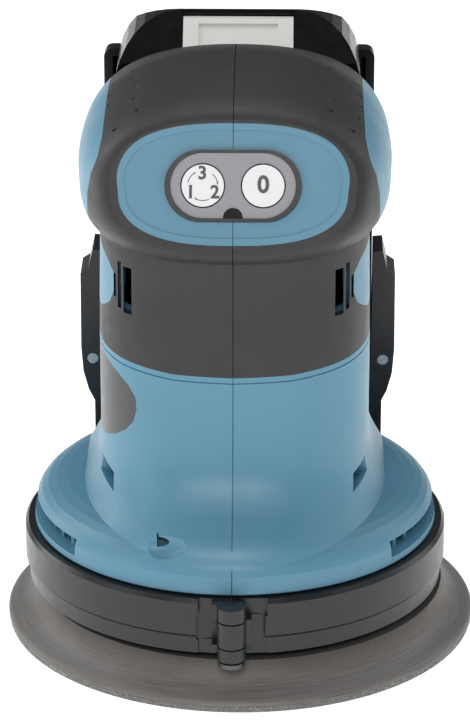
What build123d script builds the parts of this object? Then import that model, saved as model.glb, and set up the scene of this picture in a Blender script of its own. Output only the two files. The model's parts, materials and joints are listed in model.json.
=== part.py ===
"""Battery palm sander with a round orbiting pad: housing, motor, pad, bumper, battery and dust box."""

import math
import os

from build123d import *

# ---- driving dimensions, mm -------------------------------------------------
PAD_R = 61.5
PAD_TOP = 10.7
ORBIT = 1.4
HOOK_T = 1.5
DUST_HOLE_R = 5.0
DUST_HOLE_RING = 32.5
DUST_HOLES = 8

LIP_R = 51.3
LIP_Z0, LIP_Z1 = 11.3, 14.5
GROOVE_R = 49.7
SKIRT_Z0 = 28.2
SKIRT_R = 52.6
SKIRT_IN_R = 47.3
CHAMBER_TOP = 35.5
FLOOR_TOP = 40.0
FLOOR_BORE_R = 30.0

RING_IN, RING_OUT = 50.1, 55.2
RING_Z0, RING_Z1 = 14.8, 27.9
RING_DROP_Z, RING_DROP_R = 12.9, 51.7
RING_END_X = 36.8
HINGE_Y = -57.0
HINGE_R = 3.65
HINGE_PIN_R = 1.5

COLUMN_A = 34.8
COLUMN_FRONT = 33.0
REAR_Y = 46.0
WALL = 4.2
RUBBER = 1.8
SEAM_DEPTH = 1.1
INLAY = 0.7

FACE_TILT = 21.0
FACE_Y, FACE_Z = -31.0, 129.6
FACE_HALF_W, FACE_HALF_H = 28.6, 15.1
FACE_RISE = 0.3
BEZEL_W, BEZEL_H = 33.8, 17.7
PANEL_W, PANEL_H = 31.0, 16.2
DISC_R = 5.2
LENS_R, LENS_Y = 2.4, -7.9
DISC_X = 7.45
PRESS = 0.5

SHAFT_R = 5.0
SHAFT_TOP_R = 4.0
CRANK_R = 4.0
RUN = 0.05
CAN_R = 28.0
PLATE_Y, PLATE_Z = -3.5, 68.6
PLATE_HALF_L, PLATE_HALF_H = 25.0, 11.8

DOCK_HALF_W = 34.4
DOCK_Y1 = 54.0
DOCK_Z0, DOCK_Z1 = 13.0, 46.5
PORT_HALF_W = 19.0
PORT_Z0, PORT_Z1 = 18.5, 34.0

RAIL_Z0, RAIL_Z1 = 62.0, 136.0
RAIL_NECK, RAIL_WIDE = 24.0, 27.5
BATT_Z0, BATT_Z1 = 50.0, 147.2
BATT_REAR_Z1 = 132.8
BATT_Y0, BATT_SPLIT, BATT_Y1 = 49.0, 73.0, 113.5
BATT_FRONT_HW, BATT_REAR_HW = 32.7, 36.8
CELL_R, CELL_L, CELL_PITCH = 8.5, 65.0, 17.6

BOX_Y0, BOX_Y1 = 54.6, 107.8
BOX_HW = 39.6
BOX_Z0, BOX_Z1 = 13.0, 48.0
BOX_WALL = 2.0
COVER_Y1 = 112.0
CLIP_X, CLIP_Z = 39.6, 52.5
CLIP_Y0, CLIP_Y1 = 46.6, 59.4


# ---- small helpers ----------------------------------------------------------
def box(x0, x1, y0, y1, z0, z1):
    return Pos((x0 + x1) / 2, (y0 + y1) / 2, (z0 + z1) / 2) * Box(x1 - x0, y1 - y0, z1 - z0)


def cyl(r, z0, z1, x=0.0, y=0.0):
    return Pos(x, y, (z0 + z1) / 2) * Cylinder(r, z1 - z0)


def cyl_x(r, x0, x1, y, z):
    return Pos((x0 + x1) / 2, y, z) * Rot(0, 90, 0) * Cylinder(r, x1 - x0)


def cyl_y(r, y0, y1, x, z):
    return Pos(x, (y0 + y1) / 2, z) * Rot(90, 0, 0) * Cylinder(r, y1 - y0)


def tube(r_in, r_out, z0, z1, x=0.0, y=0.0):
    return cyl(r_out, z0, z1, x, y) - cyl(r_in, z0 - 1, z1 + 1, x, y)


def soft_box(x0, x1, y0, y1, z0, z1, r):
    b = box(x0, x1, y0, y1, z0, z1)
    return fillet(b.edges(), r)


def prism_y(points, y0, y1):
    """Solid with an outline in x and z, running along y."""
    plane = Plane(origin=(0, y0, 0), x_dir=(1, 0, 0), z_dir=(0, 1, 0))
    outline = Polyline([(x, -z) for x, z in points], close=True)
    return extrude(plane * make_face(outline), y1 - y0)


def prism_x(points, x0, x1):
    """Solid with an outline in y and z, running along x."""
    plane = Plane(origin=(x0, 0, 0), x_dir=(0, 1, 0), z_dir=(1, 0, 0))
    outline = Polyline(points, close=True)
    return extrude(plane * make_face(outline), x1 - x0)


def turned(points):
    """Solid of revolution about the z axis from an outline in radius and height."""
    return revolve(Plane.XZ * make_face(Polyline(points, close=True)), Axis.Z)


def super_radius(angle, a, b, n):
    c = abs(math.cos(angle)) / a
    s = abs(math.sin(angle)) / b
    return (c**n + s**n) ** (-1.0 / n)


def oval_wire(a, low, high, n_low, n_high, place, count=28):
    """Closed smooth curve: half-width a, reach low below the centre line and high above it."""
    points = []
    for i in range(count):
        t = 2 * math.pi * i / count
        if math.sin(t) >= 0:
            r = super_radius(t, a, high, n_high)
        else:
            r = super_radius(t, a, low, n_low)
        points.append(place(r * math.cos(t), r * math.sin(t)))
    return closed_spline(points)


def closed_spline(points):
    """Closed curve with even parameters, so that neighbouring sections of a loft match."""
    even = [i / len(points) for i in range(len(points) + 1)]
    return Wire([Edge.make_spline(points, periodic=True, parameters=even)])


def one(shape):
    """The largest solid of a shape."""
    return max(shape.solids(), key=lambda s: s.volume)


def face_plane(depth=0.0):
    """Plane of the control face; depth runs into the head."""
    t = math.radians(FACE_TILT)
    n = Vector(0, -math.cos(t), math.sin(t))
    o = Vector(0, FACE_Y, FACE_Z) - n * depth
    return Plane(origin=(o.X, o.Y, o.Z), x_dir=(1, 0, 0), z_dir=(n.X, n.Y, n.Z))


def on_face(sketch, d0, d1):
    """Sketch on the control face, made solid from depth d0 to depth d1."""
    return extrude(face_plane(d1) * sketch, d1 - d0)


def stadium(w, h):
    return SlotOverall(w, h)


def shift(sketch, x, y):
    return Pos(x, y) * sketch


# ---- outer shape of the housing ---------------------------------------------
# height, half-width, front reach, rear reach, front roundness, rear roundness
COLUMN_LEVELS = (
    (33.0, 44.6, 51.9, 50.0, 2.2, 2.6),
    (36.0, 42.4, 50.9, 50.0, 2.25, 3.0),
    (38.6, 40.5, 49.6, 50.0, 2.3, 3.4),
    (41.0, 38.6, 47.4, 50.0, 2.35, 3.8),
    (43.6, 36.9, 44.2, 50.0, 2.45, 4.2),
    (47.2, 35.6, 40.3, 50.0, 2.6, 4.6),
    (52.0, 35.0, 36.9, 50.0, 2.7, 5.0),
    (58.0, 34.8, 34.9, 50.0, 2.8, 5.0),
    (67.0, 34.8, 33.6, 50.0, 2.85, 5.0),
    (80.0, 34.8, 33.0, 50.0, 2.85, 5.0),
    (96.0, 34.6, 32.8, 50.0, 2.8, 5.0),
    (108.0, 34.4, 33.2, 50.0, 2.7, 5.0),
    (119.0, 33.6, 31.5, 50.0, 2.6, 5.0),
)

# centre y, centre z, tilt, half-width, reach below, reach above, roundness below, roundness above
HEAD_LEVELS = (
    (-31.0, 129.2, 21.0, 30.6, 16.6, 16.6, 2.5, 2.4),
    (-29.4, 128.8, 20.5, 33.2, 18.6, 18.9, 2.5, 2.35),
    (-24.5, 128.0, 18.0, 35.8, 20.4, 21.3, 2.6, 2.3),
    (-20.0, 127.2, 15.2, 37.3, 21.1, 22.8, 2.7, 2.25),
    (-15.0, 126.4, 12.0, 38.4, 21.6, 24.2, 2.8, 2.2),
    (-9.0, 125.6, 8.3, 39.2, 21.95, 25.7, 2.85, 2.17),
    (-3.0, 124.8, 5.0, 39.7, 22.2, 27.0, 2.9, 2.15),
    (3.0, 124.3, 2.3, 39.95, 22.2, 28.0, 2.9, 2.15),
    (9.0, 124.0, 0.0, 40.0, 22.0, 28.5, 2.9, 2.15),
    (15.0, 123.7, -1.6, 39.9, 21.8, 28.0, 2.9, 2.17),
    (22.0, 123.4, -3.0, 39.7, 21.5, 26.8, 2.9, 2.2),
    (29.0, 123.0, -4.1, 39.3, 21.25, 25.3, 2.95, 2.25),
    (36.0, 122.6, -5.0, 38.6, 21.0, 23.6, 3.0, 2.3),
    (44.0, 122.1, -5.6, 37.6, 20.7, 21.7, 3.0, 2.35),
    (52.0, 121.6, -6.0, 36.4, 20.5, 19.6, 3.0, 2.4),
)
# how far each head level moves back with the inset of an inner wall
HEAD_FRONT_SHIFT = (1.0, 1.0, 0.75, 0.58, 0.4, 0.25, 0.1) + (0.0,) * 8


def column(inset=0.0):
    wires = []
    for z, a, front, rear, nf, nr in COLUMN_LEVELS:
        wires.append(
            oval_wire(
                a - inset,
                front - inset,
                rear - inset,
                nf,
                nr,
                lambda x, y, z=z: (x, y, z),
            )
        )
    body = Solid.make_loft(wires)
    return body & box(-80, 80, -80, REAR_Y - inset, 0, 200)


def head(inset=0.0):
    wires = []
    for i, (yc, zc, tilt, a, low, high, nl, nh) in enumerate(HEAD_LEVELS):
        t = math.radians(tilt)
        y0 = yc + inset * HEAD_FRONT_SHIFT[i]
        wires.append(
            oval_wire(
                a - inset,
                low - inset,
                high - inset,
                nl,
                nh,
                lambda x, v, y0=y0, zc=zc, t=t: (x, y0 + v * math.sin(t), zc + v * math.cos(t)),
            )
        )
    body = Solid.make_loft(wires)
    return body & box(-80, 80, -80, REAR_Y - inset, 0, 200)


def skirt():
    outline = [
        (0, LIP_Z0),
        (LIP_R - 0.6, LIP_Z0),
        (LIP_R, LIP_Z0 + 0.6),
        (LIP_R, LIP_Z1),
        (GROOVE_R, LIP_Z1),
        (GROOVE_R, SKIRT_Z0),
        (SKIRT_R - 0.4, SKIRT_Z0),
        (SKIRT_R, SKIRT_Z0 + 0.4),
        (SKIRT_R - 0.3, 33.2),
        (SKIRT_R - 0.9, 34.8),
        (SKIRT_R - 2.0, 36.4),
        (SKIRT_R - 3.6, 37.8),
        (SKIRT_R - 5.8, 38.9),
        (SKIRT_R - 8.6, 39.7),
        (SKIRT_R - 12.4, 40.2),
        (0, 40.5),
    ]
    return turned(outline)


def dock():
    """Frame behind the skirt that takes the dust box."""
    outline = [
        (-DOCK_HALF_W, DOCK_Z0 + 3),
        (-DOCK_HALF_W + 3, DOCK_Z0),
        (DOCK_HALF_W - 3, DOCK_Z0),
        (DOCK_HALF_W, DOCK_Z0 + 3),
        (DOCK_HALF_W, DOCK_Z1),
        (-DOCK_HALF_W, DOCK_Z1),
    ]
    return prism_y(outline, 33.0, DOCK_Y1)


def outer(inset=0.0):
    return column(inset) + head(inset)


def rail():
    neck = box(-RAIL_NECK, RAIL_NECK, REAR_Y - 1, 53.2, RAIL_Z0, RAIL_Z1)
    wide = box(-RAIL_WIDE, RAIL_WIDE, 52.4, 55.4, RAIL_Z0, RAIL_Z1)
    return neck + wide


# ---- cuts in the housing ----------------------------------------------------
# y, z, x of the seat, radius of the head, and how far the thread reaches into the right half
SCREW_SPOTS = (
    (-42.0, 38.8, -9.6, 2.2, 9.0),
    (36.0, 57.0, -11.5, 3.9, 16.0),
    (36.0, 100.0, -11.5, 3.9, 16.0),
    (36.0, 128.0, -11.5, 3.9, 16.0),
)
POCKET_X = (-28.0, -10.6)
POCKET_R = 4.4
POCKET_Y = -48.4
POCKET_Z = 40.2


def exhaust_slots():
    """One long slot each side, with ribs left standing behind it."""
    cuts = None
    for side in (1, -1):
        band = tube(49.0, 58.0, 30.2, 34.6)
        wedge = None
        for i in range(7):
            deg = -36.0 + 7.0 * i
            if side < 0:
                deg = 180.0 - deg
            hole = Rot(0, 0, deg) * box(46.0, 58.0, -2.2, 2.2, 30.2, 34.6)
            piece = Rot(0, 0, deg) * box(40.0, 60.0, -3.2, 3.2, 30.0, 35.0)
            wedge = piece if wedge is None else wedge + piece
            cuts = hole if cuts is None else cuts + hole
        cuts = cuts + (band & wedge)
    return cuts


def screw_pocket():
    """Spindle-shaped pocket that gives access to the front screw."""
    x0, x1 = POCKET_X
    arc = ThreePointArc((x0, 0), ((x0 + x1) / 2, POCKET_R), (x1, 0))
    base = Line((x1, 0), (x0, 0))
    lens = revolve(make_face([arc, base]), Axis.X)
    return Pos(0, POCKET_Y, POCKET_Z) * lens


def side_vents():
    cuts = None
    for side in (1, -1):
        for i in range(8):
            z = 83.5 + 2.3 * i
            x0, x1 = sorted((side * 27.0, side * 42.0))
            one_cut = box(x0, x1, 8.0, 26.0, z - 0.6, z + 0.6)
            cuts = one_cut if cuts is None else cuts + one_cut
    return cuts


def corner_vents():
    cuts = None
    for side in (1, -1):
        for x0, x1, y1, z0, z1 in (
            (25.5, 27.6, -17.0, 93.8, 106.0),
            (28.2, 29.1, -16.0, 94.6, 106.8),
            (29.6, 30.2, -14.0, 97.0, 103.0),
        ):
            a, b = sorted((side * x0, side * x1))
            one_cut = box(a, b, -42.0, y1, z0, z1)
            cuts = one_cut if cuts is None else cuts + one_cut
    return cuts


def screw_bosses():
    parts = None
    for y, z, seat, head_r, reach in SCREW_SPOTS:
        b = cyl_x(6.6, -50, 50, y, z)
        parts = b if parts is None else parts + b
    return parts


def screw_holes():
    parts = screw_pocket()
    for i, (y, z, seat, head_r, reach) in enumerate(SCREW_SPOTS):
        far = -19.0 if i == 0 else -60.0
        parts = parts + cyl_x(head_r + 0.5, far, seat, y, z)
        parts = parts + cyl_x(2.1, seat - 1, 0.5, y, z) + cyl_x(1.75, 0.0, reach + 1.0, y, z)
    return parts


def grip_region():
    half = [
        (0, 79.2),
        (15, 79.8),
        (28, 81.4),
        (37, 83.0),
        (45, 84.0),
        (45, 88.4),
        (38, 89.4),
        (34, 91.2),
        (31.2, 95.0),
        (30.0, 99.0),
        (30.1, 103.0),
        (32.0, 106.0),
        (35.0, 108.6),
        (36.2, 113.0),
        (36.6, 119.0),
        (36.4, 125.0),
        (35.4, 130.5),
        (33.8, 134.5),
        (32.7, 138.5),
        (32.4, 143.0),
        (32.4, 165.0),
        (0, 165.0),
    ]
    right = prism_y(half, -60, REAR_Y + 1)
    left = mirror(right, Plane.YZ)
    return right + left


def face_outline(grow=0.0):
    a, b = FACE_HALF_W + grow, FACE_HALF_H + grow
    points = []
    for i in range(32):
        t = 2 * math.pi * i / 32
        r = super_radius(t, a, b, 2.65)
        points.append((r * math.cos(t), FACE_RISE + r * math.sin(t)))
    return make_face(closed_spline(points))


def face_block():
    """Region of the head that stays hard plastic around the controls."""
    return on_face(face_outline(), -12, 12)


# x, y, z on the right shoulder, then the outward direction in x and z
GRIP_DIMPLES = (
    (24.0, 9.2, 147.5, 0.46, 0.89),
    (24.9, 2.5, 146.8, 0.46, 0.89),
    (25.1, -4.1, 146.2, 0.47, 0.88),
    (24.4, -10.6, 145.6, 0.46, 0.89),
    (23.3, -17.7, 144.8, 0.46, 0.89),
    (30.3, 16.6, 143.3, 0.64, 0.77),
    (30.8, 9.3, 143.1, 0.65, 0.76),
    (31.3, 2.0, 142.5, 0.66, 0.75),
    (31.2, -4.9, 142.1, 0.66, 0.75),
    (30.5, -13.1, 141.7, 0.66, 0.75),
    (28.9, -21.3, 140.9, 0.66, 0.75),
)


# ---- housing halves and rubber grip -----------------------------------------
RIGHT = (0, 90, -90, 130, 0, 200)


def foot_pockets():
    outline = [(30.6, 45.6), (34.2, 47.2), (34.2, 51.4), (30.6, 49.8)]
    return prism_y(outline, -42.0, -16.0)


def grip_dimples():
    """Short slanted dashes pressed into the rubber of the right shoulder."""
    cuts = None
    for x, y, z, nx, nz in GRIP_DIMPLES:
        centre = (x + nx * 0.25, y, z + nz * 0.25)
        dash = Plane(origin=centre, z_dir=(-nz, -0.28, nx)) * Cylinder(0.55, 2.5)
        cuts = dash if cuts is None else cuts + dash
    return cuts


def step_line():
    """Fine groove in the hard shell just below the lower edge of the rubber."""
    low = [(0, 77.5), (15, 78.1), (28, 79.7), (37, 81.3), (45, 82.3)]
    high = [(x, z + 0.35) for x, z in reversed(low)]
    return prism_y(low + high, -60, 20) - column(0.3)


def face_recess():
    """Dish of the control face with the seat for the black surround."""
    front = on_face(Rectangle(80, 60), -20.0, 0.0) + on_face(face_outline(-1.7), -1.0, 0.4)
    seat = on_face(stadium(BEZEL_W + 0.1, BEZEL_H + 0.1), -1.0, 2.4)
    well = on_face(stadium(PANEL_W - 3.0, PANEL_H - 3.0), 2.0, 12.0)
    return front, seat + well


def half_shells():
    """Right half of the hard shell and of the rubber, before the one-sided cuts."""
    half = box(*RIGHT)
    front, seat = face_recess()
    skin = (outer(0.0) & half) - front
    under = outer(RUBBER) & half
    rubber = (skin & (grip_region() - face_block())) - under
    void = outer(WALL) & box(0, 90, -90, 130, FLOOR_TOP, 200)
    void = void - (screw_bosses() & box(0, 60, -80, 80, CHAMBER_TOP + 0.1, 200))
    low = cyl(SKIRT_IN_R, LIP_Z0 - 1, CHAMBER_TOP) + cyl(FLOOR_BORE_R, CHAMBER_TOP - 1, 60.0)
    low = (low + box(-PORT_HALF_W, PORT_HALF_W, 30, DOCK_Y1 + 1, PORT_Z0, PORT_Z1)) & half
    shell = skin + ((skirt() + dock() + rail()) & half)
    shell = shell - void
    shell = shell - rubber
    seam = box(-1, 0.11, -80, REAR_Y + 1, SKIRT_Z0 - 1, 160) - outer(SEAM_DEPTH) - cyl(SKIRT_R - SEAM_DEPTH, 0, 39)
    shell = shell - low - seat - seam - step_line()
    vents = (exhaust_slots() + side_vents() + corner_vents()) & half
    shell = shell - vents - foot_pockets() - dock_notch() - latch_notch() - bracket_slot()
    rubber = rubber - vents - seam - grip_dimples()
    return shell, rubber


def dock_notch():
    return box(32.4, 35.0, 46.2, 55.0, 36.6, 42.4)


def latch_notch():
    return box(-8.8, 8.8, 44.4, 47.0, 136.6, 141.0)


def bracket_slot():
    return box(-3.3, 3.3, -54.0, -49.6, 11.0, 12.8)


def plate_layer(side):
    """Thin inlay area on the side of the column."""
    outline = []
    for i in range(48):
        t = 2 * math.pi * i / 48
        r = super_radius(t, PLATE_HALF_L, PLATE_HALF_H, 2.6)
        outline.append((PLATE_Y + r * math.cos(t), PLATE_Z + r * math.sin(t)))
    x0, x1 = sorted((side * 12.0, side * 50.0))
    return prism_x(outline, x0, x1)


def build_name_plate():
    area = plate_layer(-1)
    return one((column(0.05) & area) - column(INLAY))


def housing_pair():
    shell, rubber = half_shells()
    holes = screw_holes()
    right = one(shell - holes)
    plate_seat = (column(-0.5) & plate_layer(-1)) - column(INLAY)
    left = one(mirror(shell, Plane.YZ) - holes - plate_seat)
    grip_right = one(rubber - holes)
    grip_left = one(mirror(rubber, Plane.YZ) - holes)
    return left, right, grip_left, grip_right


def build_screws():
    parts = []
    for y, z, seat, head_r, reach in SCREW_SPOTS:
        head_part = cyl_x(head_r, seat - 3.0, seat, y, z)
        drive = cyl_x(head_r * 0.5, seat - 4, seat - 1.2, y, z)
        shank = cyl_x(2.0, seat, 0.0, y, z) + cyl_x(1.7, 0.0, reach, y, z)
        parts.append(one(head_part - drive + shank))
    return Compound(parts)


# ---- controls on the face ---------------------------------------------------
def build_bezel():
    rim = on_face(stadium(BEZEL_W, BEZEL_H), -0.6, 2.3)
    opening = on_face(stadium(PANEL_W, PANEL_H), -1.0, 0.6)
    body = rim - opening
    for x in (-DISC_X, DISC_X):
        body = body - on_face(shift(Circle(DISC_R + 0.35), x, 0), 0.0, 1.3)
        body = body - on_face(shift(Circle(3.6), x, 0), 0.0, 3.0)
    return body - on_face(lens_outline(0.05), 0.0, 1.7)


def lens_outline(grow=0.0):
    """Half disc that meets the lower rim of the panel."""
    return shift(Circle(LENS_R + grow), 0, LENS_Y) & stadium(PANEL_W - 0.2 + 2 * grow, PANEL_H - 0.2 + 2 * grow)


def build_panel():
    body = on_face(stadium(PANEL_W - 0.1, PANEL_H - 0.1), -0.3, 0.6)
    for x in (-DISC_X, DISC_X):
        body = body - on_face(shift(Circle(DISC_R + 0.35), x, 0), -1.0, 1.0)
    return body - on_face(shift(Circle(LENS_R + 0.03), 0, LENS_Y), -1.0, 1.0)


def build_lens():
    return on_face(lens_outline(), -0.5, 1.6)


def build_disc(x):
    cap = on_face(shift(Circle(DISC_R), x, 0), -0.65, 0.35)
    stem = on_face(shift(Circle(3.2), x, 0), 0.2, 4.6)
    return cap + stem


def build_switch_board():
    body = on_face(Rectangle(40.0, 15.0), 8.0, 9.6)
    for x in (-DISC_X, DISC_X):
        body = body + on_face(shift(Rectangle(6.2, 6.2), x, 0), 5.6, 8.0)
    return body + on_face(shift(Rectangle(3.0, 2.0), 0, -5.0), 6.6, 8.0)


# ---- motor, fixed parts -----------------------------------------------------
def build_bearing_plate():
    body = cyl(FLOOR_BORE_R - 0.05, 35.7, 39.9) + cyl(14.0, 39.0, 44.0) + tube(24.0, CAN_R, 39.5, 45.0)
    return body - cyl(11.0, 36.8, 45.0) - cyl(7.0, 35.0, 37.0)


def build_lower_bearing():
    return tube(SHAFT_R + RUN, 11.0, 36.8, 43.8)


def build_upper_bearing():
    return tube(SHAFT_TOP_R + RUN, 9.5, 110.4, 116.4)


def build_can():
    body = tube(CAN_R - 1.3, CAN_R, 45.0, 96.0) + tube(14.4, CAN_R, 45.0, 46.4)
    for deg in (0, 90, 180, 270):
        body = body - Rot(0, 0, deg) * box(24.0, 32.0, -5.0, 5.0, 52.0, 60.0)
    return body


def build_magnets():
    ring = tube(23.3, CAN_R - 1.4, 62.0, 92.0)
    gap = box(-40, 40, -9, 9, 50, 95)
    return ring - gap


def build_brush_holder():
    body = tube(14.0, CAN_R, 96.1, 99.2)
    for side in (1, -1):
        y0, y1 = sorted((side * 13.0, side * 27.0))
        body = body + box(-4.4, 4.4, y0, y1, 99.0, 105.8)
        c0, c1 = sorted((side * 12.0, side * 28.0))
        body = body - box(-3.0, 3.0, c0, c1, 99.8, 104.8)
    return body


def build_brushes():
    parts = []
    for side in (1, -1):
        y0, y1 = sorted((side * 11.4, side * 23.0))
        parts.append(box(-2.9, 2.9, y0, y1, 99.9, 104.7))
    return Compound(parts)


def build_bridge():
    body = box(-27.0, 27.0, -8.0, 8.0, 107.8, 110.3) + cyl(12.6, 107.8, 117.4)
    for side in (1, -1):
        x0, x1 = sorted((side * 22.0, side * 27.0))
        body = body + box(x0, x1, -6.0, 6.0, 99.3, 108.0)
    return body - cyl(9.55, 110.4, 118.0) - cyl(6.2, 107.0, 111.0)


def build_fan_shroud():
    return tube(32.0, SKIRT_IN_R - 0.1, 20.0, 22.0) + tube(32.0, 33.6, 22.0, 23.8)


def build_brake_ring():
    return tube(44.4, SKIRT_IN_R - 0.1, 11.6, 14.2)


def build_control_board():
    return box(-24.0, 24.0, -8.0, 26.0, 121.0, 122.6)


def build_board_parts():
    parts = [cyl(5.0, 122.6, 136.0, -14, 12), cyl(4.0, 122.6, 133.0, -3, 14)]
    parts.append(box(6, 20, -4, 4, 122.6, 127.6))
    parts.append(box(8, 18, 10, 20, 122.6, 125.6))
    return Compound(parts)


def lead(points, bend, r=1.2):
    path = FilletPolyline(*points, radius=bend)
    start = Plane(origin=path @ 0, z_dir=path % 0)
    return sweep(start * Circle(r), path=path)


def build_leads():
    parts = []
    for x in (-9.0, 9.0):
        points = [(x, 18.0, 99.4), (x, 18.0, 106.0), (x, 23.0, 113.0), (x, 23.0, 120.8)]
        parts.append(one(lead(points, 6.0)))
    return Compound(parts)


def build_terminal_block():
    return box(-16.0, 16.0, 55.4, 59.6, 72.0, 110.0)


def build_terminal_blades():
    return Compound([box(x - 0.5, x + 0.5, 59.6, 64.0, 78.0, 104.0) for x in (-10.0, 0.0, 10.0)])


# ---- rotor and pad ----------------------------------------------------------
def build_shaft():
    body = cyl(SHAFT_R, 20.3, 107.5) + cyl(SHAFT_TOP_R, 107.5, 117.0)
    return body + cyl(8.0, 20.3, 24.4) + cyl(CRANK_R, 11.9, 20.5, ORBIT)


def build_counterweight():
    ring = tube(8.0, 29.0, 20.4, 24.4)
    return one(ring & box(-30, -2.5, -30, 30, 20, 25)) - cyl(1.6, 19, 26, -19)


def build_fan():
    body = tube(SHAFT_R, 11.0, 24.6, 34.0) + tube(10.5, 44.0, 32.4, 34.0)
    for i in range(14):
        blade = Rot(0, 0, 360.0 / 14 * i) * (Pos(0, 6, 0) * box(14.0, 42.6, -0.8, 0.8, 24.6, 32.6))
        body = body + blade
    return body - cyl(SHAFT_R, 24, 35)


def winding_bars():
    bars = None
    for i in range(12):
        b = Rot(0, 0, 30.0 * i) * box(12.5, 21.4, -1.6, 1.6, 53.9, 88.1)
        bars = b if bars is None else bars + b
    return bars


def build_core():
    return tube(SHAFT_R, 22.5, 54.0, 88.0) - winding_bars()


def build_windings():
    low = tube(7.0, 21.4, 48.8, 54.0)
    high = tube(7.0, 21.4, 88.0, 93.4)
    return low + high + (winding_bars() & box(-30, 30, -30, 30, 54, 88))


def build_commutator():
    body = tube(SHAFT_R, 11.0, 95.8, 106.6)
    for i in range(16):
        body = body - Rot(0, 0, 22.5 * i) * box(9.8, 12.0, -0.25, 0.25, 97.5, 107.0)
    return body


def dust_holes(z0, z1):
    holes = None
    for i in range(DUST_HOLES):
        t = 2 * math.pi * (i + 0.5) / DUST_HOLES
        h = cyl(DUST_HOLE_R, z0, z1, ORBIT + DUST_HOLE_RING * math.cos(t), DUST_HOLE_RING * math.sin(t))
        holes = h if holes is None else holes + h
    return holes


def ring_spots(r):
    return [(ORBIT + r * math.cos(math.radians(a)), r * math.sin(math.radians(a))) for a in (45, 135, 225, 315)]


def build_hook():
    body = cyl(PAD_R - 0.3, 0.0, HOOK_T, ORBIT) - dust_holes(-1, 3)
    return body - cyl(25.5, -1, 3, ORBIT)


def build_foam():
    outline = [
        (25.5, HOOK_T),
        (PAD_R - 0.3, HOOK_T),
        (PAD_R, 2.2),
        (PAD_R - 0.3, 3.2),
        (59.2, 3.9),
        (57.2, 5.0),
        (55.6, 6.4),
        (54.4, 8.0),
        (53.6, 9.6),
        (53.2, PAD_TOP),
        (47.1, PAD_TOP),
        (47.1, 8.0),
        (25.5, 8.0),
    ]
    return Pos(ORBIT, 0, 0) * turned(outline) - dust_holes(0, 12)


def build_pad_plate():
    body = cyl(47.0, 8.0, 10.4, ORBIT) - dust_holes(7, 12)
    for x, y in ring_spots(21.0):
        body = body - cyl(2.1, 7, 12, x, y)
    return body


def build_pad_hub():
    body = cyl(15.0, 10.4, 19.5, ORBIT) + cyl(26.0, 10.4, 12.4, ORBIT)
    for x, y in ring_spots(21.0):
        body = body + cyl(4.0, 10.4, 16.0, x, y)
    for x, y in ring_spots(21.0):
        body = body - cyl(1.75, 9, 15.0, x, y)
    return body - cyl(11.0, 11.6, 20.0, ORBIT)


def build_pad_bearing():
    return tube(CRANK_R + RUN, 11.0, 11.6, 18.8, ORBIT)


def build_pad_screws():
    parts = []
    for x, y in ring_spots(21.0):
        s = cyl(3.6, 5.6, 8.0, x, y) - cyl(1.7, 5, 7.0, x, y)
        parts.append(one(s + cyl(2.0, 8.0, 10.4, x, y) + cyl(1.7, 10.4, 14.5, x, y)))
    return Compound(parts)


# ---- bumper -----------------------------------------------------------------
def bumper_half(side):
    outline = [
        (RING_IN, RING_Z0),
        (RING_DROP_R, RING_Z0),
        (RING_DROP_R, RING_DROP_Z),
        (RING_OUT - 1.0, RING_DROP_Z),
        (RING_OUT - 0.6, 17.4),
        (RING_OUT, 18.2),
        (RING_OUT, RING_Z1 - 1.0),
        (RING_OUT - 0.8, RING_Z1),
        (RING_IN, RING_Z1),
    ]
    ring = turned(outline)
    leaf = tube(RING_IN, 53.7, RING_Z0, RING_Z1) + tube(RING_DROP_R, 53.7, RING_DROP_Z, RING_Z0 + 0.1)
    x_in = 0.2
    a, b = sorted((side * 8.5, side * 70.0))
    body = ring & box(a, b, -70, 70, 0, 40)
    c, d = sorted((side * x_in, side * 8.6))
    body = body + (leaf & box(c, d, -70, 0, 0, 40))
    tail = (-side) * RING_END_X
    e, f = sorted((side * -5.0, -tail))
    body = body - box(e, f, 20, 70, 0, 40)
    own, other = KNUCKLES if side < 0 else KNUCKLES[::-1]
    for z0, z1 in other:
        body = body - cyl(HINGE_R + 0.35, z0 - 0.3, z1 + 0.3, 0, HINGE_Y)
    for z0, z1 in own:
        g, h = sorted((side * 0.6, side * 5.0))
        body = body + cyl(HINGE_R, z0, z1, 0, HINGE_Y) + box(g, h, -56.6, -52.4, max(z0, RING_Z0), z1)
    for z0, z1 in other:
        body = body - box(-9, 9, HINGE_Y - 4, HINGE_Y + HINGE_R + 0.3, z0 - 0.3, z1 + 0.3)
    return one(body - cyl(HINGE_PIN_R + RUN, 10, 30, 0, HINGE_Y))


KNUCKLES = (((13.2, 16.6), (24.0, 27.6)), ((17.0, 23.6),))


def build_bracket():
    body = cyl(3.4, 11.4, 12.6, 0, HINGE_Y) + box(-3.2, 3.2, -57.0, -49.8, 11.4, 12.6)
    return body - cyl(HINGE_PIN_R, 11, 13, 0, HINGE_Y)


def build_hinge_pin():
    return cyl(HINGE_PIN_R, 11.4, 27.5, 0, HINGE_Y)


# ---- battery ----------------------------------------------------------------
def shoulder_outline(hw, z0, z1, r, grow=0.0):
    points = [(-hw + grow, z0 + grow), (hw - grow, z0 + grow)]
    for i in range(9):
        t = math.radians(90.0 * i / 8)
        points.append((hw - grow - r + r * math.cos(t), z1 - grow - r + r * math.sin(t)))
    for i in range(9):
        t = math.radians(90.0 + 90.0 * i / 8)
        points.append((-hw + grow + r + r * math.cos(t), z1 - grow - r + r * math.sin(t)))
    return points


def battery_front_profile():
    """Side outline: sloped front for the latch button, ridge, and a fall to the rear case."""
    return [
        (BATT_Y0, BATT_Z0 - 1),
        (BATT_SPLIT, BATT_Z0 - 1),
        (BATT_SPLIT, 142.0),
        (62.6, BATT_Z1),
        (61.4, BATT_Z1),
        (BATT_Y0, 136.2),
    ]


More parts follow.
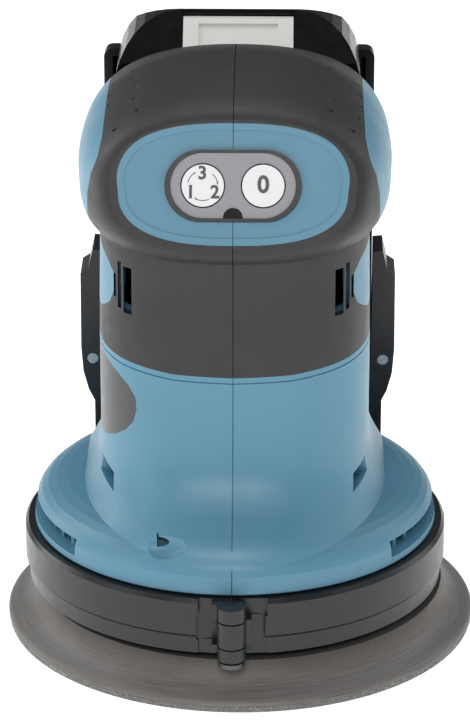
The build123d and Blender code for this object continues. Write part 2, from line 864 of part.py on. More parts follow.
def build_battery_front():
    body = prism_y(shoulder_outline(BATT_FRONT_HW, BATT_Z0, BATT_Z1, 17.0), BATT_Y0, BATT_SPLIT)
    body = body & prism_x(battery_front_profile(), -50, 50)
    body = body - prism_y(shoulder_outline(BATT_FRONT_HW, BATT_Z0, 135.0, 6.0, 2.4), 66.5, BATT_SPLIT + 1)
    body = body - box(-RAIL_NECK - 0.5, RAIL_NECK + 0.5, 48, 53, 49, RAIL_Z1 + 0.5)
    body = body - box(-RAIL_WIDE - 0.5, RAIL_WIDE + 0.5, 52.0, 55.9, 49, RAIL_Z1 + 0.5)
    body = body - box(-18.0, 18.0, 55.0, 64.5, 49, 112.0)
    body = body - box(-15.0, 15.0, 48.0, 64.4, RAIL_Z1 + 0.4, 145.9) - box(-15.0, 15.0, 48.0, 61.4, 140, 149)
    for x in (-10.0, 0.0, 10.0):
        body = body - box(x - 1.6, x + 1.6, 64.0, 67.0, 82.0, 100.0)
    return body


def battery_rear_profile(grow=0.0):
    y0, y1 = BATT_SPLIT - grow, BATT_Y1 - 1.15 * grow
    return [
        (y0, BATT_Z0 + grow),
        (y1, BATT_Z0 + grow),
        (y1, 122.0 - grow),
        (78.0, BATT_REAR_Z1 - grow),
        (y0, BATT_REAR_Z1 - grow),
    ]


def build_battery_rear():
    body = prism_x(battery_rear_profile(), -BATT_REAR_HW, BATT_REAR_HW)
    corners = body.edges().filter_by(Axis.Z).sort_by(Axis.Y)[-2:]
    body = fillet(list(corners), 8.0)
    top = [e for e in body.edges() if e.center().Z > 121.5 and e.bounding_box().max.Y > BATT_SPLIT + 0.5]
    body = fillet([e for e in top if e.center().Y > BATT_SPLIT + 0.1 and abs(e.center().X) > 1 or e.center().Y > 110], 2.4)
    body = body - prism_x(battery_rear_profile(2.2), -34.4, 34.4)
    return body - box(-11.0, 11.0, BATT_Y1 - 0.8, BATT_Y1 + 1, 98.0, 107.0)


def build_cells():
    cells = []
    for y in (82.0, 82.0 + CELL_PITCH + 0.1):
        for i in range(4):
            cells.append(Pos(0, y, 61.2 + CELL_PITCH * i) * Rot(0, 90, 0) * Cylinder(CELL_R, CELL_L))
    return Compound(cells)


def build_battery_board():
    return box(-27.0, 27.0, 67.6, 69.2, 56.0, 130.0)


def build_battery_contacts():
    return Compound([box(x - 1.4, x + 1.4, 64.6, 67.6, 83.0, 99.0) for x in (-10.0, 0.0, 10.0)])


def build_gauge():
    return box(-10.9, 10.9, BATT_Y1 - 0.8, BATT_Y1, 98.1, 106.9)


def build_latch_button():
    """Sloped pale button with a shallow finger dish and the tooth that locks in the housing."""
    outline = [(49.4, 136.7), (61.0, 136.7), (61.0, 145.6), (58.9, 145.6), (49.4, 137.3)]
    body = prism_x(outline, -14.7, 14.7)
    dish = [(50.0, 136.9), (58.0, 143.9), (57.0, 146.0), (48.0, 138.0)]
    body = body - prism_x(dish, -10.6, 10.6)
    return body + box(-8.0, 8.0, 46.4, 50.5, 137.2, 139.4)


# ---- dust box ---------------------------------------------------------------
def build_dust_body():
    body = box(-BOX_HW, BOX_HW, BOX_Y0, BOX_Y1, BOX_Z0, BOX_Z1)
    body = fillet(body.edges().filter_by(Axis.Y), 4.0)
    w = BOX_WALL
    body = body - box(-BOX_HW + w, BOX_HW - w, BOX_Y0 + w, BOX_Y1 + 1, BOX_Z0 + w, BOX_Z1 - w)
    body = body + box(-18.4, 18.4, 47.6, BOX_Y0 + 1, 19.1, 33.4)
    body = body - box(-16.4, 16.4, 46.0, BOX_Y0 + 3, 21.0, 31.5)
    for side in (1, -1):
        a, b = sorted((side * 37.1, side * 42.3))
        body = body + box(a, b, 60.0, 64.6, 42.0, 56.4)
        body = body - cyl_y(1.5, 59.0, 64.0, side * CLIP_X, CLIP_Z)
        c, d = sorted((side * 30.0, side * 33.0))
        body = body + box(c, d, BOX_Y1 - 1.0, 110.2, 13.0, 17.0) + cyl_x(2.0, c, d, 110.2, 15.0)
    return body - cyl_x(1.0, -33.5, 33.5, 110.2, 15.0)


def build_dust_cover():
    body = box(-BOX_HW, BOX_HW, BOX_Y1 + 0.4, COVER_Y1, 15.0, BOX_Z1) + cyl_x(1.9, -BOX_HW, BOX_HW, 110.2, 15.0)
    for side in (1, -1):
        c, d = sorted((side * 29.6, side * 33.4))
        body = body - box(c, d, 107.0, 114.0, 12.0, 20.0)
        e, f = sorted((side * 33.4, side * 40.0))
        body = body - box(e, f, 107.0, 114.0, 12.0, 17.6)
    for i in range(9):
        x = -28.0 + 7.0 * i
        body = body - box(x - 1.6, x + 1.6, 107.0, 113.0, 24.0, 40.0)
    return body - cyl_x(1.06, -40, 40, 110.2, 15.0)


def build_cover_pin():
    return cyl_x(1.0, -33.0, 33.0, 110.2, 15.0)


def build_filter_frame():
    ring = box(-37.4, 37.4, 84.0, 88.0, 15.2, 45.8)
    return ring - box(-33.0, 33.0, 83.0, 89.0, 19.0, 42.0)


def build_filter():
    points = []
    n = 16
    for i in range(n + 1):
        points.append((-32.8 + 65.6 * i / n, 83.2 if i % 2 else 87.8))
    back = [(x, y + 0.9) for x, y in reversed(points)]
    return extrude(Plane.XY.offset(19.1) * make_face(Polyline(points + back, close=True)), 22.8)


def build_port_seal():
    ring = box(-22.5, 22.5, 54.15, BOX_Y0, 15.4, 37.0)
    return ring - box(-18.5, 18.5, 54.0, 55.0, 19.0, 33.5)


def build_clip_pins():
    return Compound([cyl_y(1.5, 46.9, 64.0, side * CLIP_X, CLIP_Z) for side in (1, -1)])


def build_clip(side):
    outline = [
        (36.6, 84.0),
        (39.2, 84.2),
        (40.5, 78.6),
        (42.6, 77.2),
        (42.7, 56.0),
        (42.2, 49.0),
        (40.8, 43.6),
        (37.8, 37.6),
        (36.4, 37.0),
        (35.3, 37.6),
        (33.3, 38.4),
        (33.3, 40.8),
        (35.3, 41.4),
        (35.4, 46.0),
        (35.9, 50.0),
        (36.4, 56.0),
    ]
    body = prism_y([(side * x, z) for x, z in outline], CLIP_Y0, CLIP_Y1)
    a, b = sorted((side * 41.4, side * 44.0))
    body = body - box(a, b, 49.6, 56.4, 68.0, 76.0)
    c, d = sorted((side * 41.9, side * 44.0))
    body = body - box(c, d, 45.0, 61.0, 77.9, 78.4)
    e, f = sorted((side * 30.0, side * 46.0))
    body = body - box(e, f, DOCK_Y1, 62.0, 30.0, 49.4)
    return body - cyl_y(1.5 + RUN, 46.0, 60.0, side * CLIP_X, CLIP_Z)


# ---- every piece, by name ---------------------------------------------------
PIECES = {
    "name_plate": build_name_plate,
    "housing_screws": build_screws,
    "switch_surround": build_bezel,
    "switch_panel": build_panel,
    "indicator_lens": build_lens,
    "switch_board": build_switch_board,
    "speed_button": lambda: build_disc(-DISC_X),
    "off_button": lambda: build_disc(DISC_X),
    "bearing_plate": build_bearing_plate,
    "lower_bearing": build_lower_bearing,
    "upper_bearing": build_upper_bearing,
    "motor_can": build_can,
    "motor_magnets": build_magnets,
    "brush_holder": build_brush_holder,
    "carbon_brushes": build_brushes,
    "bearing_bridge": build_bridge,
    "fan_shroud": build_fan_shroud,
    "brake_ring": build_brake_ring,
    "control_board": build_control_board,
    "board_parts": build_board_parts,
    "motor_leads": build_leads,
    "terminal_block": build_terminal_block,
    "terminal_blades": build_terminal_blades,
    "motor_shaft": build_shaft,
    "counterweight": build_counterweight,
    "fan": build_fan,
    "armature_core": build_core,
    "armature_windings": build_windings,
    "commutator": build_commutator,
    "hook_layer": build_hook,
    "pad_foam": build_foam,
    "pad_plate": build_pad_plate,
    "pad_hub": build_pad_hub,
    "pad_bearing": build_pad_bearing,
    "pad_screws": build_pad_screws,
    "bumper_left": lambda: bumper_half(-1),
    "bumper_right": lambda: bumper_half(1),
    "bumper_bracket": build_bracket,
    "bumper_pin": build_hinge_pin,
    "battery_front_case": build_battery_front,
    "battery_rear_case": build_battery_rear,
    "battery_cells": build_cells,
    "battery_board": build_battery_board,
    "battery_contacts": build_battery_contacts,
    "battery_gauge": build_gauge,
    "battery_button": build_latch_button,
    "dust_box_body": build_dust_body,
    "dust_box_cover": build_dust_cover,
    "cover_pin": build_cover_pin,
    "filter_frame": build_filter_frame,
    "dust_filter": build_filter,
    "port_seal": build_port_seal,
    "clip_pins": build_clip_pins,
    "clip_left": lambda: build_clip(-1),
    "clip_right": lambda: build_clip(1),
}


def save(shape, name):
    export_step(shape, "parts/" + name + ".step")


def main():
    os.makedirs("parts", exist_ok=True)
    for name, build in PIECES.items():
        save(build(), name)
    left, right, grip_left, grip_right = housing_pair()
    save(left, "housing_left")
    save(right, "housing_right")
    save(grip_left, "grip_left")
    save(grip_right, "grip_right")


if __name__ == "__main__":
    main()
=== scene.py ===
"""Looks of the palm sander: materials, lights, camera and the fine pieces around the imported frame."""

import json
import math
import random

import bmesh
import bpy
from mathutils import Matrix, Vector


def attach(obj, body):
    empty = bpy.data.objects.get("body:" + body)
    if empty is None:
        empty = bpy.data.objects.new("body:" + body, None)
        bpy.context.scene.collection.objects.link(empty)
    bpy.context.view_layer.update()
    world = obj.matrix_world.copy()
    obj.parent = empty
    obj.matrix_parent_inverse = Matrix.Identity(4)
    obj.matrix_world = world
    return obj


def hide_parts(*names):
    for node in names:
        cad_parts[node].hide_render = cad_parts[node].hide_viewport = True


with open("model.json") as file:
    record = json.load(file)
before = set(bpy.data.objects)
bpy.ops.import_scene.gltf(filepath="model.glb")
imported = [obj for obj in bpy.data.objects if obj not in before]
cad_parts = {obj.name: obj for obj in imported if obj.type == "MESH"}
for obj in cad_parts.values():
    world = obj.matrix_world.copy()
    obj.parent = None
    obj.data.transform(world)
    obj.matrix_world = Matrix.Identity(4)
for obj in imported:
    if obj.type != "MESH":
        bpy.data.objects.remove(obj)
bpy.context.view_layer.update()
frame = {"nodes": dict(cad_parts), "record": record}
MM = 0.001


# ---- camera and stage --------------------------------------------------------
CAMERA_AT = Vector((14.0, -901.5, 432.0)) * MM
CAMERA_TARGET = Vector((0.0, 0.0, 71.0)) * MM
LENS_MM = 187.0
SENSOR_MM = 36.0
FLOOR_SIZE = 30.0
FLOOR_DROP = 0.2 * MM
FLOOR_GLOW = 0.75
WORLD_STRENGTH = 0.12


def make_camera():
    data = bpy.data.cameras.new("camera")
    data.lens = LENS_MM
    data.sensor_width = SENSOR_MM
    data.sensor_fit = "AUTO"
    data.clip_start = 0.05
    data.clip_end = 20.0
    cam = bpy.data.objects.new("camera", data)
    bpy.context.scene.collection.objects.link(cam)
    cam.location = CAMERA_AT
    cam.rotation_euler = (CAMERA_TARGET - CAMERA_AT).to_track_quat("-Z", "Y").to_euler()
    bpy.context.scene.camera = cam


def area_light(name, place, target, size, power):
    data = bpy.data.lights.new(name, "AREA")
    data.shape = "RECTANGLE"
    data.size, data.size_y = size
    data.energy = power
    lamp = bpy.data.objects.new(name, data)
    bpy.context.scene.collection.objects.link(lamp)
    lamp.location = place
    lamp.rotation_euler = (Vector(target) - Vector(place)).to_track_quat("-Z", "Y").to_euler()


def make_world():
    world = bpy.data.worlds.new("studio")
    world.use_nodes = True
    background = world.node_tree.nodes["Background"]
    background.inputs[0].default_value = (0.95, 0.97, 1.0, 1)
    background.inputs[1].default_value = WORLD_STRENGTH
    bpy.context.scene.world = world
    bpy.context.scene.view_settings.view_transform = "Standard"


def make_floor():
    bpy.ops.mesh.primitive_plane_add(size=FLOOR_SIZE, location=(0, 0, -FLOOR_DROP))
    floor = bpy.context.object
    floor.name = "studio_floor"
    mat, nt, bsdf = material("floor_white", (0.9, 0.9, 0.9), 0.7)
    bsdf.inputs["Emission Color"].default_value = (1, 1, 1, 1)
    bsdf.inputs["Emission Strength"].default_value = FLOOR_GLOW
    bump(nt, bsdf, noise(nt, object_coords(nt), 300.0, 3.0), 0.02 * MM)
    floor.data.materials.append(mat)


# ---- materials ---------------------------------------------------------------
COAT_ROUGH = 0.1
NOISE_LOW, NOISE_HIGH = 0.3, 0.7


def material(name, colour, rough, metal=0.0, spec=0.5, coat=0.0):
    mat = bpy.data.materials.new(name)
    mat.use_nodes = True
    nt = mat.node_tree
    bsdf = nt.nodes["Principled BSDF"]
    bsdf.inputs["Base Color"].default_value = (*colour, 1)
    bsdf.inputs["Roughness"].default_value = rough
    bsdf.inputs["Metallic"].default_value = metal
    bsdf.inputs["Specular IOR Level"].default_value = spec
    bsdf.inputs["Coat Weight"].default_value = coat
    bsdf.inputs["Coat Roughness"].default_value = COAT_ROUGH
    return mat, nt, bsdf


def object_coords(nt):
    return nt.nodes.new("ShaderNodeTexCoord").outputs["Object"]


def noise(nt, coords, scale, detail, rough=0.6):
    n = nt.nodes.new("ShaderNodeTexNoise")
    n.inputs["Scale"].default_value = scale
    n.inputs["Detail"].default_value = detail
    n.inputs["Roughness"].default_value = rough
    nt.links.new(coords, n.inputs["Vector"])
    return n.outputs["Fac"]


def remap(nt, value, lo, hi, to_lo, to_hi):
    m = nt.nodes.new("ShaderNodeMapRange")
    m.inputs["From Min"].default_value = lo
    m.inputs["From Max"].default_value = hi
    m.inputs["To Min"].default_value = to_lo
    m.inputs["To Max"].default_value = to_hi
    nt.links.new(value, m.inputs["Value"])
    return m.outputs["Result"]


def math_node(nt, op, a, b=None):
    m = nt.nodes.new("ShaderNodeMath")
    m.operation = op
    for i, v in enumerate((a, b)):
        if v is None:
            continue
        if isinstance(v, (int, float)):
            m.inputs[i].default_value = v
        else:
            nt.links.new(v, m.inputs[i])
    return m.outputs[0]


def mix_colour(nt, fac, a, b):
    m = nt.nodes.new("ShaderNodeMix")
    m.data_type = "RGBA"
    nt.links.new(fac, m.inputs["Factor"])
    for i, v in ((6, a), (7, b)):
        if isinstance(v, (tuple, list)):
            m.inputs[i].default_value = (*v[:3], 1)
        else:
            nt.links.new(v, m.inputs[i])
    return m.outputs[2]


def bump(nt, bsdf, height, distance, strength=1.0, chain=None):
    b = nt.nodes.new("ShaderNodeBump")
    b.inputs["Strength"].default_value = strength
    b.inputs["Distance"].default_value = distance
    nt.links.new(height, b.inputs["Height"])
    if chain is not None:
        nt.links.new(chain, b.inputs["Normal"])
    nt.links.new(b.outputs["Normal"], bsdf.inputs["Normal"])
    return b.outputs["Normal"]


def tint(nt, bsdf, colour, scale, amount):
    """Slow variation of the colour, so that no surface is one flat value."""
    slow = noise(nt, object_coords(nt), scale, 3.0)
    lo = tuple(c * (1 - amount) for c in colour)
    hi = tuple(min(1.0, c * (1 + amount)) for c in colour)
    nt.links.new(mix_colour(nt, slow, lo, hi), bsdf.inputs["Base Color"])


def rough_spread(nt, bsdf, scale, lo, hi):
    patches = noise(nt, object_coords(nt), scale, 5.0)
    nt.links.new(remap(nt, patches, NOISE_LOW, NOISE_HIGH, lo, hi), bsdf.inputs["Roughness"])


def moulded(name, colour, rough, grain, depth, tone=0.04, spread=0.05, **extra):
    """Moulded plastic or rubber: spark-eroded grain, slight tone and gloss variation."""
    mat, nt, bsdf = material(name, colour, rough, **extra)
    tint(nt, bsdf, colour, 60.0, tone)
    rough_spread(nt, bsdf, 220.0, rough - spread, rough + spread)
    coords = object_coords(nt)
    fine = noise(nt, coords, grain, 2.0, 0.5)
    wave = noise(nt, coords, 45.0, 2.0, 0.5)
    first = bump(nt, bsdf, wave, 0.04 * MM, 0.6)
    bump(nt, bsdf, fine, depth * MM, 1.0, first)
    return mat


def machined(name, colour, rough, scale=900.0, depth=0.01):
    """Turned or ground metal with fine rings and smudges."""
    mat, nt, bsdf = material(name, colour, rough, metal=1.0)
    tint(nt, bsdf, colour, 90.0, 0.08)
    rough_spread(nt, bsdf, 300.0, max(0.05, rough - 0.1), rough + 0.12)
    rings = nt.nodes.new("ShaderNodeTexWave")
    rings.wave_type = "RINGS"
    rings.rings_direction = "Z"
    rings.inputs["Scale"].default_value = scale
    rings.inputs["Distortion"].default_value = 1.5
    nt.links.new(object_coords(nt), rings.inputs["Vector"])
    bump(nt, bsdf, rings.outputs["Fac"], depth * MM, 0.6)
    return mat


# moulded: name, colour, roughness, grain scale, grain depth in mm, tone and gloss variation
# machined: name, colour, roughness, ring scale, ring depth in mm
TEAL = (0.095, 0.255, 0.360)
MATS = {
    "teal_plastic": moulded("teal_moulding", TEAL, 0.42, 2600.0, 0.012, 0.03, 0.04),
    "rubber_grip": moulded("grip_rubber", (0.030, 0.030, 0.031), 0.50, 3200.0, 0.03, 0.08, 0.06, spec=0.4),
    "black_plastic": moulded("black_moulding", (0.010, 0.010, 0.011), 0.34, 2400.0, 0.015, 0.08, 0.05),
    "battery_plastic": moulded(
        "battery_moulding", (0.004, 0.004, 0.0045), 0.22, 1800.0, 0.008, 0.08, 0.05, spec=0.25
    ),
    "bumper_plastic": moulded("bumper_moulding", (0.010, 0.010, 0.011), 0.32, 2200.0, 0.014, 0.08, 0.05),
    "membrane": moulded("membrane_film", (0.28, 0.275, 0.295), 0.34, 5000.0, 0.01, 0.03, 0.03),
    "white_key": moulded("white_key_film", (0.80, 0.80, 0.81), 0.35, 4000.0, 0.008, 0.02, 0.03),
    "pale_key": moulded("pale_button", (0.72, 0.71, 0.68), 0.40, 2600.0, 0.012, 0.02, 0.04),
    "lens": moulded("dark_window", (0.012, 0.012, 0.012), 0.12, 600.0, 0.002, 0.05, 0.02, coat=0.6),
    "plate": moulded("name_plate_film", (0.055, 0.056, 0.06), 0.36, 3000.0, 0.01, 0.05, 0.04),
    "steel": machined("turned_steel", (0.55, 0.55, 0.56), 0.28),
    "dark_steel": machined("blackened_can", (0.10, 0.10, 0.105), 0.40),
    "aluminium": machined("cast_aluminium", (0.70, 0.70, 0.71), 0.42, 500.0, 0.02),
    "iron_core": machined("core_laminations", (0.25, 0.25, 0.26), 0.45, 1500.0, 0.02),
    "magnet": moulded("sintered_magnet", (0.07, 0.07, 0.075), 0.6, 1500.0, 0.03),
    "copper": machined("enamelled_copper", (0.65, 0.28, 0.12), 0.32, 1200.0, 0.03),
    "brass": machined("brass_strip", (0.75, 0.55, 0.25), 0.30),
    "carbon": moulded("pressed_carbon", (0.03, 0.03, 0.03), 0.7, 1500.0, 0.03),
    "fan_plastic": moulded("fan_moulding", (0.30, 0.29, 0.27), 0.5, 1800.0, 0.02),
    "board": moulded("solder_mask", (0.02, 0.14, 0.06), 0.3, 900.0, 0.02, 0.15),
    "lead": moulded("red_insulation", (0.35, 0.02, 0.02), 0.45, 1500.0, 0.01),
    "hook": moulded("hook_backing", (0.16, 0.155, 0.15), 0.8, 1500.0, 0.1, 0.2),
    "pad_plastic": moulded("pad_backing", (0.03, 0.03, 0.033), 0.45, 1800.0, 0.02),
    "cell": moulded("cell_wrap", (0.05, 0.20, 0.38), 0.3, 900.0, 0.01),
    "paper": moulded("filter_paper", (0.72, 0.70, 0.62), 0.9, 2500.0, 0.08, 0.08),
    "seal": moulded("soft_seal", (0.02, 0.02, 0.02), 0.7, 1500.0, 0.03),
}


FOAM_DARK = (0.105, 0.098, 0.092)
FOAM_PALE = (0.20, 0.19, 0.18)
# dark brown painted shade for the foam where it lies under the bumper ring
FOAM_SHADE_BROWN = (0.075, 0.062, 0.052)


def foam_material():
    """Moulded foam edge: warm grey skin, circular moulding streaks, and painted shade: darker brown
    towards the housing, under the bumper ring.
    """
    mat, nt, bsdf = material("pad_foam_skin", (0.14, 0.13, 0.12), 0.46, spec=0.45)
    coords = object_coords(nt)
    sep = nt.nodes.new("ShaderNodeSeparateXYZ")
    nt.links.new(coords, sep.inputs[0])
    streaks = nt.nodes.new("ShaderNodeTexNoise")
    streaks.inputs["Detail"].default_value = 6.0
    streaks.inputs["Roughness"].default_value = 0.7
    streaks.inputs["Scale"].default_value = 1.0
    squares = [math_node(nt, "POWER", sep.outputs[i], 2.0) for i in (0, 1)]
    radius = math_node(nt, "SQRT", math_node(nt, "ADD", *squares))
    angle = math_node(nt, "ARCTAN2", sep.outputs[1], sep.outputs[0])
    join = nt.nodes.new("ShaderNodeCombineXYZ")
    for i, (value, stretch) in enumerate(((angle, 3.0), (radius, 2600.0), (sep.outputs[2], 1500.0))):
        nt.links.new(math_node(nt, "MULTIPLY", value, stretch), join.inputs[i])
    nt.links.new(join.outputs[0], streaks.inputs["Vector"])
    streak = streaks.outputs["Fac"]
    base = mix_colour(nt, remap(nt, streak, NOISE_LOW, NOISE_HIGH, 0.0, 1.0), FOAM_DARK, FOAM_PALE)
    # painted shade: the colour turns dark brown as the foam rises towards the bumper ring, where the ring
    # casts its shadow
    shade_under_ring = remap(nt, sep.outputs[2], 5.5 * MM, 10.5 * MM, 0.0, 1.0)
    nt.links.new(mix_colour(nt, shade_under_ring, base, FOAM_SHADE_BROWN), bsdf.inputs["Base Color"])
    nt.links.new(remap(nt, streak, NOISE_LOW, NOISE_HIGH, 0.36, 0.58), bsdf.inputs["Roughness"])
    first = bump(nt, bsdf, streak, 0.08 * MM, 0.8)
    bump(nt, bsdf, noise(nt, coords, 1400.0, 3.0), 0.03 * MM, 1.0, first)
    return mat


MATS["pad_foam"] = foam_material()


def dress_cad():
    for part in frame["record"]["subparts"]:
        node = frame["nodes"][part["node"]]
        node.data.materials.clear()
        node.data.materials.append(MATS[part["material_slot"]])


# ---- pieces that stand in front of the frame's plain solids ---------------------
FACE_ORIGIN = Vector((0.0, -31.0, 129.6)) * MM
FACE_TILT = math.radians(21.0)
FACE_NORMAL = Vector((0.0, -math.cos(FACE_TILT), math.sin(FACE_TILT)))
FACE_UP = Vector((0.0, math.sin(FACE_TILT), math.cos(FACE_TILT)))
DISC_X = 7.45
DISC_TOP = 0.65
INK_SUNK = 0.02
INK_LIFT = 0.03
ARROW_RADIUS = 3.7
ARROW_HALF = 0.10
ARROW_HEAD = 0.75
PAD_AXIS = Vector((1.4, 0.0, 0.0)) * MM


def mesh_from(bm, name):
    """The finished mesh of a bmesh, which is freed."""
    mesh = bpy.data.meshes.new(name)
    bm.to_mesh(mesh)
    bm.free()
    return mesh


def add_object(name, mesh, mat, body):
    obj = bpy.data.objects.new(name, mesh)
    bpy.context.scene.collection.objects.link(obj)
    mesh.materials.clear()
    mesh.materials.append(mat)
    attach(obj, body)
    return obj


def face_point(x, y, lift):
    """A point of the control face in metres from millimetres across, up and out of it."""
    return FACE_ORIGIN + Vector((x * MM, 0, 0)) + FACE_UP * (y * MM) + FACE_NORMAL * (lift * MM)


def digit_mesh(text, size_mm, weight_mm):
    curve = bpy.data.curves.new("digit", "FONT")
    curve.body = text
    curve.size = size_mm * MM
    curve.extrude = INK_LIFT * MM
    curve.offset = weight_mm * MM
    curve.align_x, curve.align_y = "CENTER", "CENTER"
    curve.resolution_u = 6
    obj = bpy.data.objects.new("digit", curve)
    bpy.context.scene.collection.objects.link(obj)
    mesh = bpy.data.meshes.new_from_object(obj.evaluated_get(bpy.context.evaluated_depsgraph_get()))
    bpy.data.objects.remove(obj)
    return mesh


def on_face_matrix(x, y):
    m = Matrix((Vector((1, 0, 0)), FACE_UP, FACE_NORMAL)).transposed().to_4x4()
    m.translation = face_point(x, y, DISC_TOP + INK_SUNK)
    return m


def merge_into(bm, mesh, matrix):
    mesh.transform(matrix)
    bm.from_mesh(mesh)


def arc_arrow(bm, cx, a0, a1):
    """Printed arc from one angle to the other with an arrow head at its end, a raised film of ink."""
    radius, half = ARROW_RADIUS, ARROW_HALF
    steps = 8

    def plate(points):
        low = [bm.verts.new(face_point(cx + x, y, DISC_TOP - INK_SUNK)) for x, y in points]
        high = [bm.verts.new(face_point(cx + x, y, DISC_TOP + INK_LIFT)) for x, y in points]
        bm.faces.new(high)
        bm.faces.new(list(reversed(low)))
        for i in range(len(points)):
            j = (i + 1) % len(points)
            bm.faces.new((low[i], low[j], high[j], high[i]))

    angles = [math.radians(a0 + (a1 - a0) * i / steps) for i in range(steps + 1)]
    turn = 1 if a1 > a0 else -1
    for t0, t1 in zip(angles[:-1], angles[1:]):
        corners = ((t0, radius - half), (t0, radius + half), (t1, radius + half), (t1, radius - half))
        quad = [(r * math.cos(t), r * math.sin(t)) for t, r in corners]
        plate(quad if turn < 0 else list(reversed(quad)))
    t = angles[-1]
    tip = t + turn * ARROW_HEAD / radius
    tri = [(radius - 2.6 * half, t), (radius + 2.6 * half, t), (radius, tip)]
    tri = [(r * math.cos(a), r * math.sin(a)) for r, a in tri]
    plate(tri if turn < 0 else list(reversed(tri)))


def make_prints():
    ink = moulded("printed_ink", (0.075, 0.075, 0.08), 0.45, 4000.0, 0.004)
    bm = bmesh.new()
    for text, x, y in (("3", -0.1, 3.0), ("1", -3.0, -1.7), ("2", 3.0, -1.7)):
        merge_into(bm, digit_mesh(text, 4.5, 0.13), on_face_matrix(-DISC_X + x, y))
    for a0, a1 in ((168, 128), (50, 14), (-64, -114)):
        arc_arrow(bm, -DISC_X, a0, a1)
    add_object("speed_digits", mesh_from(bm, "speed_digits"), ink, "speed_button")
    bm = bmesh.new()
    merge_into(bm, digit_mesh("0", 5.9, 0.17), on_face_matrix(DISC_X, 0.15))
    add_object("off_digit", mesh_from(bm, "off_digit"), ink, "off_button")


# radius and height of the foam's section in mm, from the bore round the rim and back
FOAM_PROFILE = (
    (25.5, 1.5), (60.9, 1.5), (61.3, 1.6), (61.5, 1.9), (61.5, 2.2), (61.3, 2.6), (60.9, 3.0),
    (60.2, 3.35), (59.2, 3.85), (58.2, 4.35), (57.2, 4.95), (56.3, 5.65), (55.55, 6.4), (54.9, 7.2),
    (54.4, 8.0), (54.0, 8.8), (53.6, 9.7), (53.2, 10.7), (47.1, 10.7), (47.1, 8.0), (25.5, 8.0),
)
RIM_POINTS = range(7, 17)
HOLES = 8
HOLE_CIRCLE = 32.5
HOLE_R = 5.0
CREASE_ANGLE = 32.0


def make_foam():
    """Pad foam turned about the pad's own axis, with the eight dust holes."""
    bm = bmesh.new()
    steps = 300
    rings = []
    for i in range(steps):
        a = 2 * math.pi * i / steps
        wobble = 0.05 * math.sin(23 * a) + 0.04 * math.sin(41 * a + 1.0)
        ring = []
        for k, (r, z) in enumerate(FOAM_PROFILE):
            reach = r + (wobble if k in RIM_POINTS else 0.0)
            point = Vector((reach * math.cos(a), reach * math.sin(a), z)) * MM
            ring.append(bm.verts.new(PAD_AXIS + point))
        rings.append(ring)
    n = len(FOAM_PROFILE)
    for i in range(steps):
        a, b = rings[i], rings[(i + 1) % steps]
        for k in range(n):
            bm.faces.new((a[k], b[k], b[(k + 1) % n], a[(k + 1) % n]))
    bmesh.ops.recalc_face_normals(bm, faces=bm.faces)
    foam = bpy.data.objects.new("foam_body", mesh_from(bm, "foam_body"))
    bpy.context.scene.collection.objects.link(foam)
    bm = bmesh.new()
    for i in range(HOLES):
        t = 2 * math.pi * (i + 0.5) / HOLES
        centre = Vector((HOLE_CIRCLE * math.cos(t), HOLE_CIRCLE * math.sin(t), 5.0)) * MM
        bmesh.ops.create_cone(
            bm, cap_ends=True, segments=40, radius1=HOLE_R * MM, radius2=HOLE_R * MM, depth=14 * MM,
            matrix=Matrix.Translation(PAD_AXIS + centre),
        )
    cutter = bpy.data.objects.new("foam_cuts", mesh_from(bm, "foam_cuts"))
    bpy.context.scene.collection.objects.link(cutter)
    mod = foam.modifiers.new("holes", "BOOLEAN")
    mod.operation, mod.solver, mod.object = "DIFFERENCE", "EXACT", cutter
    done = bpy.data.meshes.new_from_object(foam.evaluated_get(bpy.context.evaluated_depsgraph_get()))
    bpy.data.objects.remove(foam)
    bpy.data.objects.remove(cutter)
    smooth_by_angle(done, CREASE_ANGLE)
    obj = add_object("foam_ring", done, MATS["pad_foam"], "pad")
    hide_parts("pad_foam")


def smooth_by_angle(mesh, degrees):
    bm = bmesh.new()
    bm.from_mesh(mesh)
    for f in bm.faces:
        f.smooth = True
    for e in bm.edges:
        e.smooth = len(e.link_faces) == 2 and e.calc_face_angle(0.0) < math.radians(degrees)
    bm.to_mesh(mesh)
    bm.free()


# the hooks' radius from the pad axis, highest point and thickness in mm
FIBRE_ROOT = 61.12
FIBRE_TOP = 2.0
FIBRE_RADIUS = 0.06


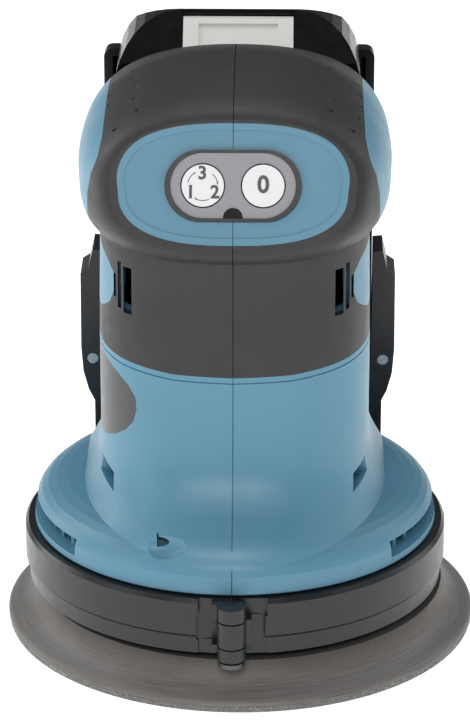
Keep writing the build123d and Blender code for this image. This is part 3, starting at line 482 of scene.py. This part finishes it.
def make_fibres():
    """Hooks that stick out of the edge of the hook layer, as short bent wires."""
    rng = random.Random(5)
    up = Vector((0, 0, 1))
    bm = bmesh.new()
    for _ in range(5200):
        a = rng.uniform(0, 2 * math.pi)
        z = rng.uniform(0.1, 1.35)
        lean = rng.uniform(-0.009, 0.009)
        rise = rng.uniform(-0.25, 0.75)
        out = rng.uniform(0.12, 0.28)
        points = []
        for s in (0.0, 0.4, 0.75, 1.0):
            r = FIBRE_ROOT + out * math.sin(s * 2.2)
            t = a + lean * s
            height = min(FIBRE_TOP, max(FIBRE_RADIUS, z + rise * s * s))
            points.append(PAD_AXIS + Vector((r * math.cos(t), r * math.sin(t), height)) * MM)
        radial = Vector((math.cos(a), math.sin(a), 0))
        side = Vector((-math.sin(a), math.cos(a), 0))
        spokes = (radial, side * 0.8 + up * 0.6, -side * 0.8 - up * 0.6)
        loops = [[bm.verts.new(q + d * FIBRE_RADIUS * MM) for d in spokes] for q in points]
        for lo, hi in zip(loops[:-1], loops[1:]):
            for k in range(3):
                bm.faces.new((lo[k], lo[(k + 1) % 3], hi[(k + 1) % 3], hi[k]))
        bm.faces.new(loops[-1])
        bm.faces.new(list(reversed(loops[0])))
    bmesh.ops.recalc_face_normals(bm, faces=bm.faces)
    mat = moulded("nylon_fibre", (0.42, 0.41, 0.39), 0.3, 2000.0, 0.01, 0.3)
    add_object("hook_fibres", mesh_from(bm, "hook_fibres"), mat, "pad")


make_camera()
make_world()
make_floor()
dress_cad()
make_prints()
make_foam()
make_fibres()
area_light("rim_left", (-0.70, 0.30, 0.50), (-0.03, 0, 0.08), (0.35, 0.9), 3.4)
area_light("rim_right", (0.70, 0.30, 0.50), (0.03, 0, 0.08), (0.35, 0.9), 1.8)
area_light("side_left", (-0.9, -0.45, 0.45), (0, 0, 0.09), (0.35, 0.8), 1.8)
area_light("side_right", (0.95, -0.35, 0.5), (0, 0, 0.09), (0.35, 0.8), 0.8)
area_light("top", (0.0, 0.25, 1.1), (0, 0, 0.12), (0.6, 0.35), 2.6)
area_light("front_fill", (-0.1, -1.3, 1.05), (0, 0, 0.10), (0.8, 0.5), 10.0)
